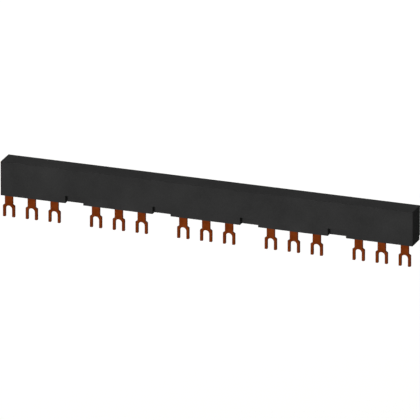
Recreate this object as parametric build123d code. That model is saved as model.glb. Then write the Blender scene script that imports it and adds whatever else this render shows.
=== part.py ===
from build123d import *
import os

# Comb busbar: three insulated copper combs that feed a row of five three-pole motor starters.
# X runs along the bar, Z points up and the front faces -Y. The origin lies on the screw axis of
# the middle fork, halfway through its copper. Heights are built up from the underside of the
# housing, and depths from its front face.

# Spacing of the forks
groups = 5             # starters side by side
group_pitch = 55.0     # a 45 mm starter with a 10 mm auxiliary contact beside it
phase_pitch = 14.4     # terminal spacing of a 45 mm starter
phases = ("l1", "l2", "l3")

# Copper combs
copper = 1.5           # strip thickness
bar_height = 12.0
left_overhang = 3.35   # outermost fork axis to the left ends of the bars
right_overhang = 4.05  # outermost fork axis to their right ends
bend_radius = 0.5      # inside radius of the press brake bends
root_radius = 0.8      # where a tongue leaves its bar
neck_width = 5.0
fork_width = 7.5
slot_width = 4.1       # clears an M4 terminal screw
tip_radius = 0.3
shoulder_drop = 5.5    # underside of the housing to the start of the shoulders
shoulder_height = 0.9
crown_drop = 8.4       # underside of the housing to the screw axis
prong_length = 5.0     # screw axis to the prong tips

# Housing
wall_front = 1.0
wall_top = 1.3
wall_end = 1.3
floor = 1.5
edge_radius = 0.3
joint_chamfer = 0.15   # on each shell, so that their joint shows as a fine groove
leg_rise = 4.6         # underside of the housing to the legs of the bent tongues
leg_headroom = 0.5     # over those legs
barrier = 1.2          # walls between neighbouring necks
rim_thick = 1.3        # low wall along the rear of the floor
rim_height = 4.0
recess_width = 11.4
recess_depth = 3.7
recess_height = 4.8
recess_wall = 1.3

# Rear cover
cover_thick = 1.0
cover_lift = 2.75      # underside of the housing to the lower edge of the cover
clamp_depth = 2.8      # ribs that press on the rear comb
clamp_thick = 1.2
lip_thick = 1.2        # ring that centres the cover in the housing
catch_width = 6.0
catch_reach = 2.4      # from the plate to the tips of the catches
catch_nose = 0.4       # how far a nose stands out of its tongue
catch_ramp = 0.7       # length of its lead-in

# Insulating strips
web = 1.8
foot = 1.2

# Fits
clearance = 0.1        # between pieces that are assembled by hand
neck_gap = 0.2         # each side of a neck in the floor

# Heights above the underside of the housing
leg_top = leg_rise + copper
seat = leg_top + leg_headroom
foot_bottom = seat + clearance
foot_top = foot_bottom + foot
bar_bottom = foot_top + clearance
bar_top = bar_bottom + bar_height
ceiling = bar_top + clearance
height = ceiling + wall_top

# Depths behind the front face
comb_front = wall_front + clearance
comb_step = copper + 2 * clearance + web
last_comb = comb_front + (len(phases) - 1) * comb_step
clamp_front = last_comb + copper + clearance
cover_front = clamp_front + clamp_depth
rim_front = cover_front - rim_thick
lip_front = rim_front + clearance
catch_front = cover_front - catch_reach
catch_back = rim_front - clearance
depth = cover_front + cover_thick

# Lengths along the row
row = (groups - 1) * group_pitch + (len(phases) - 1) * phase_pitch
bar_left = -row / 2 - left_overhang
bar_right = row / 2 + right_overhang
inside_left = bar_left - clearance
inside_right = bar_right + clearance
left = inside_left - wall_end
right = inside_right + wall_end
slot_in_floor = neck_width + 2 * neck_gap

# Where the housing's own corner lies in the part's frame
underside = crown_drop
front = -comb_front - copper / 2


def block(x0, x1, y0, y1, z0, z1):
    """A box between two corners: depths behind the front face, heights above the underside."""
    size = Box(x1 - x0, y1 - y0, z1 - z0, align=Align.MIN)
    return Pos(x0, front + y0, underside + z0) * size


def fork_x(group, phase):
    """Screw axis of one fork, along the row."""
    middle_group = (groups - 1) / 2
    middle_phase = (len(phases) - 1) / 2
    return (group - middle_group) * group_pitch + (phase - middle_phase) * phase_pitch


def fork_places(phase):
    return [fork_x(group, phase) for group in range(groups)]


def all_forks():
    return [x for phase in range(len(phases)) for x in fork_places(phase)]


def between_forks():
    """Halfway between neighbouring forks of one group."""
    return [
        (fork_x(group, phase) + fork_x(group, phase + 1)) / 2
        for group in range(groups)
        for phase in range(len(phases) - 1)
    ]


def between_groups():
    last = len(phases) - 1
    return [(fork_x(group, last) + fork_x(group + 1, 0)) / 2 for group in range(groups - 1)]


def upper_catches():
    """The rear cover is held by the roof between the groups and at the middle of each."""
    return between_groups() + fork_places(len(phases) // 2)


def stamped_outline():
    """Front view of one tongue, from inside its bar down to the prong tips."""
    neck = neck_width / 2
    wide = fork_width / 2
    slot = slot_width / 2
    root_z = underside + bar_bottom
    top_z = root_z + root_radius
    start_z = underside - shoulder_drop
    end_z = start_z - shoulder_height
    edge = Polyline((0, top_z), (neck + root_radius, top_z), (neck + root_radius, root_z))
    edge += CenterArc((neck + root_radius, root_z - root_radius), root_radius, 90, 90)
    edge += Polyline(
        (neck, root_z - root_radius),
        (neck, start_z),
        (wide, end_z),
        (wide, -prong_length),
        (slot, -prong_length),
        (slot, 0),
    )
    edge += CenterArc((0, 0), slot, 0, 90)
    edge += Line((0, slot), (0, top_z))
    half = make_face(edge)
    half = fillet(half.vertices().group_by(Axis.Y)[0], tip_radius)
    return Plane.XZ * (half + mirror(half, about=Plane.YZ))


def bent_section(phase):
    """Side view of one tongue: down from its bar, forward on a leg, and down in the fork plane."""
    back_y = phase * comb_step
    top_z = underside + bar_bottom + root_radius
    leg_z = underside + leg_rise + copper / 2
    if phase == 0:
        line = Line((0, top_z), (0, -prong_length))
    else:
        corners = [(back_y, top_z), (back_y, leg_z), (0, leg_z), (0, -prong_length)]
        line = FilletPolyline(corners, radius=bend_radius + copper / 2)
    return Plane.YZ * trace(line, copper)


def comb(phase):
    """One phase: a bar and its tongues, stamped from one strip and bent into the fork plane."""
    back_y = comb_front + phase * comb_step
    bar = block(bar_left, bar_right, back_y, back_y + copper, bar_bottom, bar_top)
    tongue = extrude(stamped_outline(), amount=depth, both=True)
    tongue &= extrude(bent_section(phase), amount=fork_width, both=True)
    whole = bar + [Pos(x, 0, 0) * tongue for x in fork_places(phase)]
    root_z = bar_bottom - root_radius
    for x0, x1 in ((left, bar_left), (bar_right, right)):
        whole -= block(x0, x1, back_y, back_y + copper, root_z, bar_top)
    return whole


def outer_block(y0, y1, z0, joint):
    """A block as long and high as the housing, rounded but at its first or last face (0 or -1)."""
    body = block(left, right, y0, y1, z0, height)
    joint_edges = body.faces().sort_by(Axis.Y)[joint].edges()
    body = fillet(body.edges() - joint_edges, edge_radius)
    return chamfer(body.faces().sort_by(Axis.Y)[joint].edges(), joint_chamfer)


def front_housing():
    """Moulded trough, closed at both ends and open to the rear."""
    trough = outer_block(0, cover_front, 0, -1)
    trough -= block(inside_left, inside_right, wall_front, cover_front, floor, ceiling)
    trough += block(inside_left, inside_right, rim_front, cover_front, floor, rim_height)
    for x in between_groups():
        trough += recess_box(x)
    for x in between_forks():
        trough += neck_barrier(x)
    for x in between_groups():
        half = recess_width / 2
        trough -= block(x - half, x + half, 0, recess_depth, 0, recess_height)
    for x in all_forks():
        half = slot_in_floor / 2
        trough -= block(x - half, x + half, wall_front, cover_front, 0, rim_height)
    for x in upper_catches():
        half = catch_width / 2 + clearance
        pocket_front = catch_front - clearance
        trough -= block(x - half, x + half, pocket_front, rim_front, ceiling, ceiling + catch_nose)
    return trough


def recess_box(x):
    """The walls and roof round one recess in the lower front edge."""
    half = recess_width / 2 + recess_wall
    return block(x - half, x + half, wall_front, recess_depth + recess_wall, floor, seat)


def neck_barrier(x):
    """A wall between two necks. It carries the insulators, and its higher step the rear comb."""
    half = barrier / 2
    low = block(x - half, x + half, wall_front, rim_front, floor, seat)
    return low + block(x - half, x + half, last_comb, rim_front, seat, foot_top)


def rear_cover():
    """Plate with a centring lip, ribs that press on the rear comb, and tabs behind the necks."""
    cover = outer_block(cover_front, depth, cover_lift, 0)
    cover += centring_lip()
    for x in between_forks():
        half = clamp_thick / 2
        cover += block(x - half, x + half, clamp_front, cover_front, bar_bottom, bar_top)
    for x in all_forks():
        cover += slot_tab(x)
    for x in upper_catches():
        cover += catch(x, ceiling - clearance, 1)
    for x in between_groups():
        cover += catch(x, rim_height + clearance, -1)
    return cover


def centring_lip():
    x0, x1 = bar_left, bar_right
    z0, z1 = rim_height + clearance, ceiling - clearance
    ring = block(x0, x1, lip_front, cover_front, z0, z1)
    return ring - block(
        x0 + lip_thick,
        x1 - lip_thick,
        lip_front,
        cover_front,
        z0 + lip_thick,
        z1 - lip_thick,
    )


def catch(x, face, way):
    """A tongue on the lip whose nose snaps behind the roof (way 1) or the rim (way -1)."""
    root = face - way * lip_thick
    tip = face + way * catch_nose
    outline = Polyline(
        (catch_front, root),
        (catch_front, face),
        (catch_front + catch_ramp, tip),
        (catch_back, tip),
        (catch_back, face),
        (lip_front, face),
        (lip_front, root),
        close=True,
    )
    profile = Plane.YZ * make_face(outline)
    return Pos(x, front, underside) * extrude(profile, amount=catch_width / 2, both=True)


def slot_tab(x):
    """Closes one slot in the floor behind its neck."""
    half = slot_in_floor / 2 - clearance
    behind_neck = comb_front + copper + clearance
    foot_plate = block(x - half, x + half, behind_neck, cover_front, 0, floor)
    riser_top = rim_height + clearance + lip_thick
    return foot_plate + block(x - half, x + half, rim_front, cover_front, 0, riser_top)


def insulator(gap):
    """A strip between two combs. Its foot lies under the front one, notched for its tongues."""
    x0, x1 = bar_left, bar_right
    foot_front = comb_front + gap * comb_step
    web_front = foot_front + copper + clearance
    strip = block(x0, x1, web_front, web_front + web, foot_bottom, bar_top)
    strip += block(x0, x1, foot_front, web_front, foot_bottom, foot_top)
    for x in fork_places(gap):
        half = neck_width / 2 + root_radius + clearance
        strip -= block(x - half, x + half, foot_front, web_front, foot_bottom, foot_top)
    return strip


pieces = {
    "front_housing": front_housing(),
    "rear_cover": rear_cover(),
    "front_insulator": insulator(0),
    "rear_insulator": insulator(1),
}
for number, phase_name in enumerate(phases):
    pieces["phase_comb_" + phase_name] = comb(number)

os.makedirs("parts", exist_ok=True)
for name, piece in pieces.items():
    export_step(piece, f"parts/{name}.step")
print(f"overall {right - left:.1f} x {depth:.1f} x {height + crown_drop + prong_length:.1f} mm")
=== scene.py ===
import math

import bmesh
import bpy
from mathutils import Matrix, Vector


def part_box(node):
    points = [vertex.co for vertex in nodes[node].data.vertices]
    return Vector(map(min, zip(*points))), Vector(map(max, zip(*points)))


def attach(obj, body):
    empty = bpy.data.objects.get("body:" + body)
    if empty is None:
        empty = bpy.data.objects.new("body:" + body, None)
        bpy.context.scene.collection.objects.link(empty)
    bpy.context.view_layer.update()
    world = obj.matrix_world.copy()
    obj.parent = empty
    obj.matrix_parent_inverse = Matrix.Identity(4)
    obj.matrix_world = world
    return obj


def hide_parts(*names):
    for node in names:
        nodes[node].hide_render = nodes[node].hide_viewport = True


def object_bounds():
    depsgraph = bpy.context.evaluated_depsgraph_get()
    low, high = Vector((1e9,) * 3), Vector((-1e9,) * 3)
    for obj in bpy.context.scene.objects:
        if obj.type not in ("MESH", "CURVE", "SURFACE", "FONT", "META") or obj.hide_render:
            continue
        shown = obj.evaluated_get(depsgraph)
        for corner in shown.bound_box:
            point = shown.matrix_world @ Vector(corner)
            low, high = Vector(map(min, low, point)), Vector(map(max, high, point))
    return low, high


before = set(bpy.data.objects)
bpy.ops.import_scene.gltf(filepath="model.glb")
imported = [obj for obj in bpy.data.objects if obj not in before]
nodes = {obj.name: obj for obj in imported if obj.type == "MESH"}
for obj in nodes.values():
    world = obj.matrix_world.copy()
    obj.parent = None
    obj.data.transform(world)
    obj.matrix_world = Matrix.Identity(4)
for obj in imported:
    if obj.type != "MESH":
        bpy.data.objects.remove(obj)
cad_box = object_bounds()

# %% [markdown]
# A comb busbar feeds a row of motor starters from one supply. Three copper combs lie one behind
# the other in a black moulded housing, and their forks stand in one line under its lower edge.
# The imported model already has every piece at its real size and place, in metres. This lesson
# gives each piece the finish of the real one, rounds the stamped copper, and lights it all.

MM = 0.001
housing_low, housing_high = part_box("front_housing")
whole_low, whole_high = cad_box
print("whole part, mm:", [round(side / MM, 2) for side in whole_high - whole_low])

# %% [markdown]
# The photograph is nearly a parallel view, taken from 20 degrees to the right of the front and
# 20 degrees above it. A very long lens from far away gives that, and unlike an orthographic
# camera it still frames the part when the view is turned. The picture is 248.0 mm wide at the
# part, so the distance follows from the lens. The aim is given in the plane of the picture, from
# the lower front edge of the housing at the middle of its length.

# %% The camera
VIEW_AZIMUTH = math.radians(20.0)
VIEW_ELEVATION = math.radians(20.0)
LENS_MM = 1500.0
SENSOR_MM = 36.0
PICTURE_WIDTH = 248.0 * MM
AIM_RIGHT = 2.53 * MM
AIM_UP = 6.45 * MM

back = Vector((
    math.sin(VIEW_AZIMUTH) * math.cos(VIEW_ELEVATION),
    -math.cos(VIEW_AZIMUTH) * math.cos(VIEW_ELEVATION),
    math.sin(VIEW_ELEVATION),
))
right = Vector((math.cos(VIEW_AZIMUTH), math.sin(VIEW_AZIMUTH), 0.0))
up = back.cross(right)
edge_middle = Vector(((housing_low.x + housing_high.x) / 2, housing_low.y, housing_low.z))
aim = edge_middle + right * AIM_RIGHT + up * AIM_UP
distance = PICTURE_WIDTH * LENS_MM / SENSOR_MM

camera_data = bpy.data.cameras.new("long_lens")
camera_data.lens = LENS_MM
camera_data.sensor_width = SENSOR_MM
camera_data.clip_start = distance / 2
camera_data.clip_end = distance * 2
camera = bpy.data.objects.new("camera", camera_data)
camera.location = aim + back * distance
camera.rotation_mode = "QUATERNION"
camera.rotation_quaternion = (-back).to_track_quat("-Z", "Y")
bpy.context.scene.collection.objects.link(camera)
bpy.context.scene.camera = camera
print("camera distance, m:", round(distance, 3))

# %% [markdown]
# Colours are written as they would be picked from a picture, as sRGB hex values. Shaders add up
# light, so they need linear numbers, and one function does that for every colour here.

# %% Colours
def linear(hex_colour):
    channels = [int(hex_colour[i:i + 2], 16) / 255 for i in (1, 3, 5)]
    curve = [c / 12.92 if c <= 0.04045 else ((c + 0.055) / 1.055) ** 2.4 for c in channels]
    return (*curve, 1.0)


print("mid grey is", [round(c, 3) for c in linear("#808080")])

# %% [markdown]
# A material is a small network. This helper adds one node, sets what stays constant on its own
# sockets and joins what varies, so each material below reads as a list of its layers. Noise runs
# from 0 to 1 but seldom leaves its middle, so that middle is what each material spreads out.

# %% Adding a shader node
NOISE_LOW = 0.3
NOISE_HIGH = 0.7


def add_node(tree, kind, settings=None, values=None, links=None):
    """Settings are the node's own options, values its socket constants, links what feeds it."""
    node = tree.nodes.new(kind)
    for name, setting in (settings or {}).items():
        setattr(node, name, setting)
    for socket, value in (values or {}).items():
        node.inputs[socket].default_value = value
    for socket, source in (links or {}).items():
        tree.links.new(source, node.inputs[socket])
    return node


def new_material(name):
    """An empty material with its output node, and object coordinates in metres."""
    material = bpy.data.materials.new(name)
    material.use_nodes = True
    tree = material.node_tree
    tree.nodes.clear()
    output = tree.nodes.new("ShaderNodeOutputMaterial")
    place = add_node(tree, "ShaderNodeTexCoord").outputs["Object"]
    return material, tree, output, place


def set_stops(ramp_node, *stops):
    """Stops of a colour ramp, as pairs of a place from 0 to 1 and a linear colour."""
    ramp = ramp_node.color_ramp
    while len(ramp.elements) < len(stops):
        ramp.elements.new(0.5)
    for element, (place, colour) in zip(ramp.elements, stops):
        element.position = place
        element.color = colour
    return ramp_node


# %% [markdown]
# The housing is injection moulded in black polyamide with glass fibre and a flame retardant. The
# steel mould is spark eroded, which gives an even fine grain with no gloss: its pits hold a little
# shade, so they look darker than the rest. Pigment and fibre leave the faintest cloudiness. Grain
# on the real part is 0.1 mm apart, which no picture of the whole part could show, so it is drawn
# at 0.5 mm.

# %% Black moulded polyamide
GRAIN = 0.5 * MM
GRAIN_DEPTH = 0.04 * MM
PIT_SHADE = 0.5
SMOOTHEST = 0.85
ROUGHEST = 0.95
CLOUD = 18.0 * MM


def moulded_polyamide(name, dark, light):
    material, tree, output, place = new_material(name)
    cloud = add_node(
        tree, "ShaderNodeTexNoise",
        values={"Scale": 1 / CLOUD, "Detail": 3.0, "Roughness": 0.55},
        links={"Vector": place},
    )
    grain = add_node(
        tree, "ShaderNodeTexNoise",
        values={"Scale": 1 / GRAIN, "Detail": 2.0, "Roughness": 0.6},
        links={"Vector": place},
    )
    # Painted shade: the grain's share of the tone darkens the pits, on top of the real cloudiness
    # of the pigment.
    shade = add_node(
        tree, "ShaderNodeMix", values={"Factor": PIT_SHADE},
        links={"A": cloud.outputs["Fac"], "B": grain.outputs["Fac"]},
    )
    tone = set_stops(
        add_node(tree, "ShaderNodeValToRGB", links={"Fac": shade.outputs["Result"]}),
        (NOISE_LOW, linear(dark)), (NOISE_HIGH, linear(light)),
    )
    sheen = add_node(
        tree, "ShaderNodeMapRange",
        values={
            "From Min": NOISE_LOW, "From Max": NOISE_HIGH,
            "To Min": SMOOTHEST, "To Max": ROUGHEST,
        },
        links={"Value": grain.outputs["Fac"]},
    )
    bump = add_node(
        tree, "ShaderNodeBump",
        values={"Strength": 0.35, "Distance": GRAIN_DEPTH},
        links={"Height": grain.outputs["Fac"]},
    )
    shader = add_node(
        tree, "ShaderNodeBsdfPrincipled",
        values={"IOR": 1.53, "Specular IOR Level": 0.03},
        links={
            "Base Color": tone.outputs["Color"],
            "Roughness": sheen.outputs["Result"],
            "Normal": bump.outputs["Normal"],
        },
    )
    tree.links.new(shader.outputs["BSDF"], output.inputs["Surface"])
    return material


housing_black = moulded_polyamide("black_polyamide_moulded", "#2A2A2A", "#363636")
print("made", housing_black.name)

# %% [markdown]
# The strips between the combs are extruded from a pale rigid plastic. They are hidden inside, but
# the model can be taken apart, so they get a finish too. Extrusion leaves faint lines along them.

# %% Pale extruded insulation
LINE_PITCH = 0.8 * MM


def extruded_strip(name):
    material, tree, output, place = new_material(name)
    stretched = add_node(
        tree, "ShaderNodeMapping",
        values={"Scale": (0.02, 1.0, 1.0)},
        links={"Vector": place},
    )
    lines = add_node(
        tree, "ShaderNodeTexNoise",
        values={"Scale": 1 / LINE_PITCH, "Detail": 2.0},
        links={"Vector": stretched.outputs["Vector"]},
    )
    tone = set_stops(
        add_node(tree, "ShaderNodeValToRGB", links={"Fac": lines.outputs["Fac"]}),
        (NOISE_LOW, linear("#8E8F8C")), (NOISE_HIGH, linear("#9A9B98")),
    )
    shader = add_node(
        tree, "ShaderNodeBsdfPrincipled",
        values={"Roughness": 0.5, "IOR": 1.5},
        links={"Base Color": tone.outputs["Color"]},
    )
    tree.links.new(shader.outputs["BSDF"], output.inputs["Surface"])
    return material


strip_grey = extruded_strip("grey_plastic_extruded")
print("made", strip_grey.name)

# %% [markdown]
# The combs are stamped from rolled copper strip and left bare. Rolling leaves fine lines along
# the strip, and air and fingers dull it to brown in soft patches. The punch leaves each cut edge
# with two bands, which are told apart by their place in the thickness of the strip: it shears the
# first part smooth and tears off the rest. Both are coloured darker than the rolled faces, partly
# for their own duller tone and partly as painted shade on the narrow cut sides. The meshes below
# carry that place as an attribute, which runs from 0 on the front to 1 on the back. Rolling lines
# are a few hundredths of a millimetre apart, and are drawn at 0.35 mm so that they show.

# %% Bare stamped copper
STRIP_DEPTH = "strip_depth"
ROLL_PITCH = 0.35 * MM
ROLL_STRETCH = 0.04
LINE_SHADE = 0.4
TARNISH = 5.0 * MM
DULLEST = 0.5
BRIGHTEST = 0.36
RELIEF = 0.01 * MM
TEAR = 0.25 * MM
CUT_FROM = 0.005
CUT_FULL = 0.03
SHEARED_PART = 0.4
TORN_FULL = 0.48


def stamped_copper(name):
    material, tree, output, place = new_material(name)
    stretched = add_node(
        tree, "ShaderNodeMapping",
        values={"Scale": (ROLL_STRETCH, 1.0, 1.0)},
        links={"Vector": place},
    )
    lines = add_node(
        tree, "ShaderNodeTexNoise",
        values={"Scale": 1 / ROLL_PITCH, "Detail": 3.0, "Roughness": 0.6},
        links={"Vector": stretched.outputs["Vector"]},
    )
    patches = add_node(
        tree, "ShaderNodeTexNoise",
        values={"Scale": 1 / TARNISH, "Detail": 4.0, "Roughness": 0.6},
        links={"Vector": place},
    )
    tears = add_node(
        tree, "ShaderNodeTexNoise",
        values={"Scale": 1 / TEAR, "Detail": 3.0, "Roughness": 0.7},
        links={"Vector": place},
    )
    streaks = add_node(
        tree, "ShaderNodeMix", values={"Factor": LINE_SHADE},
        links={"A": patches.outputs["Fac"], "B": lines.outputs["Fac"]},
    )
    rolled = set_stops(
        add_node(tree, "ShaderNodeValToRGB", links={"Fac": streaks.outputs["Result"]}),
        (NOISE_LOW, linear("#632709")), (NOISE_HIGH, linear("#803A15")),
    )
    # Painted shade: the torn band is coloured darker than the rolled faces, partly its own dull
    # tone and partly shade painted on the narrow cut sides.
    torn_band_and_shade = set_stops(
        add_node(tree, "ShaderNodeValToRGB", links={"Fac": tears.outputs["Fac"]}),
        (NOISE_LOW, linear("#502816")), (NOISE_HIGH, linear("#5C301A")),
    )
    depth = add_node(tree, "ShaderNodeAttribute", settings={"attribute_name": STRIP_DEPTH})
    rest = add_node(
        tree, "ShaderNodeMath", settings={"operation": "SUBTRACT"},
        values={0: 1.0}, links={1: depth.outputs["Fac"]},
    )
    to_face = add_node(
        tree, "ShaderNodeMath", settings={"operation": "MINIMUM"},
        links={0: depth.outputs["Fac"], 1: rest.outputs["Value"]},
    )
    is_cut = add_node(
        tree, "ShaderNodeMapRange",
        values={"From Min": CUT_FROM, "From Max": CUT_FULL},
        links={"Value": to_face.outputs["Value"]},
    )
    is_torn = add_node(
        tree, "ShaderNodeMapRange",
        values={"From Min": SHEARED_PART, "From Max": TORN_FULL},
        links={"Value": depth.outputs["Fac"]},
    )
    # Painted shade: the sheared band is coloured darker than the rolled faces too, partly its own
    # tone and partly shade painted on the cut sides.
    edge = add_node(
        tree, "ShaderNodeMix", settings={"data_type": "RGBA"}, values={"A": linear("#603016")},
        links={"Factor": is_torn.outputs["Result"], "B": torn_band_and_shade.outputs["Color"]},
    )
    colour = add_node(
        tree, "ShaderNodeMix", settings={"data_type": "RGBA"},
        links={
            "Factor": is_cut.outputs["Result"],
            "A": rolled.outputs["Color"],
            "B": edge.outputs["Result"],
        },
    )
    relief = add_node(
        tree, "ShaderNodeMix",
        links={
            "Factor": is_cut.outputs["Result"],
            "A": lines.outputs["Fac"],
            "B": tears.outputs["Fac"],
        },
    )
    bump = add_node(
        tree, "ShaderNodeBump",
        values={"Strength": 0.25, "Distance": RELIEF},
        links={"Height": relief.outputs["Result"]},
    )
    dull = add_node(
        tree, "ShaderNodeMapRange",
        values={
            "From Min": NOISE_LOW, "From Max": NOISE_HIGH,
            "To Min": DULLEST, "To Max": BRIGHTEST,
        },
        links={"Value": patches.outputs["Fac"]},
    )
    shader = add_node(
        tree, "ShaderNodeBsdfPrincipled",
        values={"Metallic": 1.0, "Specular Tint": linear("#9A8C84")},
        links={
            "Base Color": colour.outputs["Result"],
            "Roughness": dull.outputs["Result"],
            "Normal": bump.outputs["Normal"],
        },
    )
    tree.links.new(shader.outputs["BSDF"], output.inputs["Surface"])
    return material


bare_copper = stamped_copper("bare_copper_stamped")
print("made", bare_copper.name)

# %% [markdown]
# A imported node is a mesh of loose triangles, which no bevel can follow. A copy has its doubles
# merged and its flat faces made whole again, and then its real edges are the only sharp ones.

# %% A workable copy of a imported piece
MERGE = 0.001 * MM
FLAT = math.radians(0.5)
SHARP = math.radians(60.0)


def merged_copy(name):
    shape = bmesh.new()
    shape.from_mesh(nodes[name].data)
    bmesh.ops.remove_doubles(shape, verts=shape.verts, dist=MERGE)
    bmesh.ops.dissolve_limit(shape, angle_limit=FLAT, verts=shape.verts, edges=shape.edges)
    return shape


sample = merged_copy("phase_comb_l1")
triangles = len(nodes["phase_comb_l1"].data.polygons)
print("front comb:", triangles, "triangles,", len(sample.faces), "whole faces")
sample.free()

# %% [markdown]
# Every corner of a stamped strip lies on its front or on its back, also round the bends. Where a
# face squarely meets the Y axis that is plain. On a leg that runs backwards, the side that faces
# up is the front one, because each tongue bends forwards out of its bar and down again.

# %% Front and back of the strip
SQUARE = 0.9


def on_back(corner):
    facings = [face.normal for face in corner.link_faces]
    steepest = max(facings, key=lambda facing: abs(facing.y))
    if abs(steepest.y) > SQUARE:
        return float(steepest.y > 0)
    rolled = min(facings, key=lambda facing: abs(facing.x))
    return float(rolled.y > rolled.z)


# %% [markdown]
# The punch drags the strip down before it cuts through, so the outline is rounded on the front
# and nearly sharp on the back. Two bevels do that, one for each side. A bevel copies a corner's
# attributes to the corners it makes, so the rounded part still counts as front or back, and only
# the straight cut between them runs from 0 to 1. Weighted normals keep the flat faces flat.

# %% The stamped combs
DIE_ROLL = 0.18 * MM
DIE_ROLL_STEPS = 3
BURR_EDGE = 0.04 * MM


def outline_edges(shape, depth, side):
    """The sharp edges that run round the strip on one side: 0 for the front, 1 for the back."""
    return [
        edge for edge in shape.edges
        if all(corner[depth] == side for corner in edge.verts)
        and edge.calc_face_angle(0.0) > SHARP
    ]


def stamped_comb(phase):
    node = "phase_comb_" + phase
    shape = merged_copy(node)
    depth = shape.verts.layers.float.new(STRIP_DEPTH)
    for corner in shape.verts:
        corner[depth] = on_back(corner)
    for side, offset, steps in ((0.0, DIE_ROLL, DIE_ROLL_STEPS), (1.0, BURR_EDGE, 1)):
        bmesh.ops.bevel(
            shape, geom=outline_edges(shape, depth, side), affect="EDGES", offset=offset,
            offset_type="OFFSET", segments=steps, profile=0.5, material=-1, clamp_overlap=False,
        )
    mesh = bpy.data.meshes.new("stamped_comb_" + phase)
    shape.to_mesh(mesh)
    shape.free()
    mesh.shade_smooth()
    mesh.materials.append(bare_copper)
    comb = bpy.data.objects.new(mesh.name, mesh)
    bpy.context.scene.collection.objects.link(comb)
    comb.modifiers.new("flat_faces", "WEIGHTED_NORMAL").keep_sharp = True
    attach(comb, "root")
    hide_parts(node)
    return comb


for phase in ("l1", "l2", "l3"):
    comb = stamped_comb(phase)
    print(comb.name, len(comb.data.polygons), "faces")

# %% [markdown]
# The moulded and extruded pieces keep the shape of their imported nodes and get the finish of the
# real piece.

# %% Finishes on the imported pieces
finishes = {
    "front_housing": housing_black,
    "rear_cover": housing_black,
    "front_insulator": strip_grey,
    "rear_insulator": strip_grey,
}
for name, material in finishes.items():
    slots = nodes[name].data.materials
    slots.clear()
    slots.append(material)
print("finished", len(finishes), "pieces")

# %% [markdown]
# The part is shown as it hangs on its starters, clear of the table, so its shadow falls soft and
# low. The floor is pale paper under the lamps. What looks straight at it, or sees it in a
# reflection, also gets a glow that lifts it to full white, so the ground of the picture is white
# and the shadow stays. Out of the lamps' reach the glow grows, and the floor fades into the room.
# The paper is clear from below, so that the underside of the part can be looked at too.

# %% The floor
FLOOR_SIZE = 12.0
FLOOR_DROP = 220.0 * MM
PAPER_GLOW = 0.70
FADE_START = 1.0
FADE_END = 2.4


def white_ray(tree):
    """1 for what the camera, a reflection or a clear piece sees, and 0 for soft light."""
    path = add_node(tree, "ShaderNodeLightPath")
    direct = add_node(
        tree, "ShaderNodeMath", settings={"operation": "MAXIMUM"},
        links={0: path.outputs["Is Camera Ray"], 1: path.outputs["Is Glossy Ray"]},
    )
    seen = add_node(
        tree, "ShaderNodeMath", settings={"operation": "MAXIMUM"},
        links={0: direct.outputs["Value"], 1: path.outputs["Is Transmission Ray"]},
    )
    return seen.outputs["Value"]


paper, paper_tree, paper_output, paper_place = new_material("white_paper")
paper_diffuse = add_node(
    paper_tree, "ShaderNodeBsdfDiffuse", values={"Color": linear("#A6A6A4")}
)
from_middle = add_node(
    paper_tree, "ShaderNodeVectorMath", settings={"operation": "LENGTH"},
    links={0: paper_place},
)
glow = add_node(
    paper_tree, "ShaderNodeMapRange",
    values={"From Min": FADE_START, "From Max": FADE_END, "To Min": PAPER_GLOW, "To Max": 1.0},
    links={"Value": from_middle.outputs["Value"]},
)
glow_strength = add_node(
    paper_tree, "ShaderNodeMath", settings={"operation": "MULTIPLY"},
    links={0: glow.outputs["Result"], 1: white_ray(paper_tree)},
)
paper_glow = add_node(
    paper_tree, "ShaderNodeEmission", values={"Color": linear("#FFFFFF")},
    links={"Strength": glow_strength.outputs["Value"]},
)
paper_sum = add_node(
    paper_tree, "ShaderNodeAddShader",
    links={0: paper_diffuse.outputs["BSDF"], 1: paper_glow.outputs["Emission"]},
)
paper_side = add_node(paper_tree, "ShaderNodeNewGeometry")
paper_clear = add_node(paper_tree, "ShaderNodeBsdfTransparent")
paper_mix = add_node(
    paper_tree, "ShaderNodeMixShader",
    links={"Fac": paper_side.outputs["Backfacing"], 1: paper_sum.outputs["Shader"],
           2: paper_clear.outputs["BSDF"]},
)
paper_tree.links.new(paper_mix.outputs["Shader"], paper_output.inputs["Surface"])

bpy.ops.mesh.primitive_plane_add(size=FLOOR_SIZE, location=(0, 0, whole_low.z - FLOOR_DROP))
floor = bpy.context.object
floor.name = "paper_floor"
floor.data.materials.append(paper)
print("floor", round((whole_low.z - floor.location.z) / MM), "mm below the forks")

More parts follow.
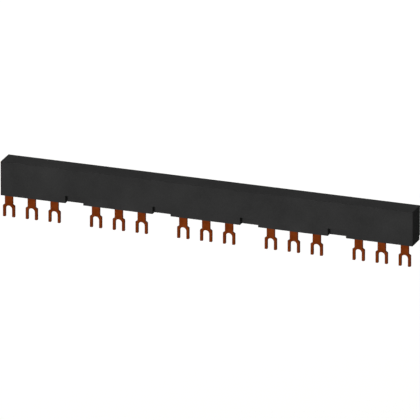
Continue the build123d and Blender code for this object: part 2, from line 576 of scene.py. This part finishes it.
# %% [markdown]
# Three soft boxes light the part. The key stands almost square to the front and a little to the
# left, so that even the recesses in the lower edge get its light. The top box hangs above and
# behind on the left and gives the top its tone. The rear box does for the back what the key does
# for the front. The right end only gets the light of the room, which is how the photograph shades
# it. The boxes themselves stay out of reflections, so the bare copper mirrors the even white room
# and keeps its own colour.

# %% The light
ROOM_LIGHT = 0.07
ROOM_WHITE = 1.0
BOX_DISTANCE = 3.0
KEY_FROM = Vector((-0.05, -1.0, 0.15))
KEY_SIZE = 1.0
KEY_POWER = 78.0
TOP_FROM = Vector((-0.35, 0.45, 0.82))
TOP_SIZE = 1.8
TOP_POWER = 55.0
REAR_FROM = Vector((-0.1, 1.0, 0.1))
REAR_SIZE = 1.0
REAR_POWER = 50.0


def soft_box(name, direction, size, power):
    lamp_data = bpy.data.lights.new(name, "AREA")
    lamp_data.shape = "SQUARE"
    lamp_data.size = size
    lamp_data.energy = power
    lamp = bpy.data.objects.new(name, lamp_data)
    lamp.location = direction.normalized() * BOX_DISTANCE
    lamp.rotation_mode = "QUATERNION"
    lamp.rotation_quaternion = direction.to_track_quat("Z", "Y")
    lamp.visible_glossy = False
    bpy.context.scene.collection.objects.link(lamp)
    return lamp


key = soft_box("key_soft_box", KEY_FROM, KEY_SIZE, KEY_POWER)
top_box = soft_box("top_soft_box", TOP_FROM, TOP_SIZE, TOP_POWER)
rear_box = soft_box("rear_soft_box", REAR_FROM, REAR_SIZE, REAR_POWER)

world = bpy.data.worlds.new("white_room")
world.use_nodes = True
room_tree = world.node_tree
room_tree.nodes.clear()
room_output = room_tree.nodes.new("ShaderNodeOutputWorld")
room_light = add_node(
    room_tree, "ShaderNodeBackground",
    values={"Color": linear("#FFFFFF"), "Strength": ROOM_LIGHT},
)
room_white = add_node(
    room_tree, "ShaderNodeBackground",
    values={"Color": linear("#FFFFFF"), "Strength": ROOM_WHITE},
)
room_mix = add_node(
    room_tree, "ShaderNodeMixShader",
    links={"Fac": white_ray(room_tree), 1: room_light.outputs["Background"],
           2: room_white.outputs["Background"]},
)
room_tree.links.new(room_mix.outputs["Shader"], room_output.inputs["Surface"])
bpy.context.scene.world = world
bpy.context.scene.view_settings.view_transform = "Standard"
print("lit by", key.name, top_box.name, rear_box.name, "and", world.name)
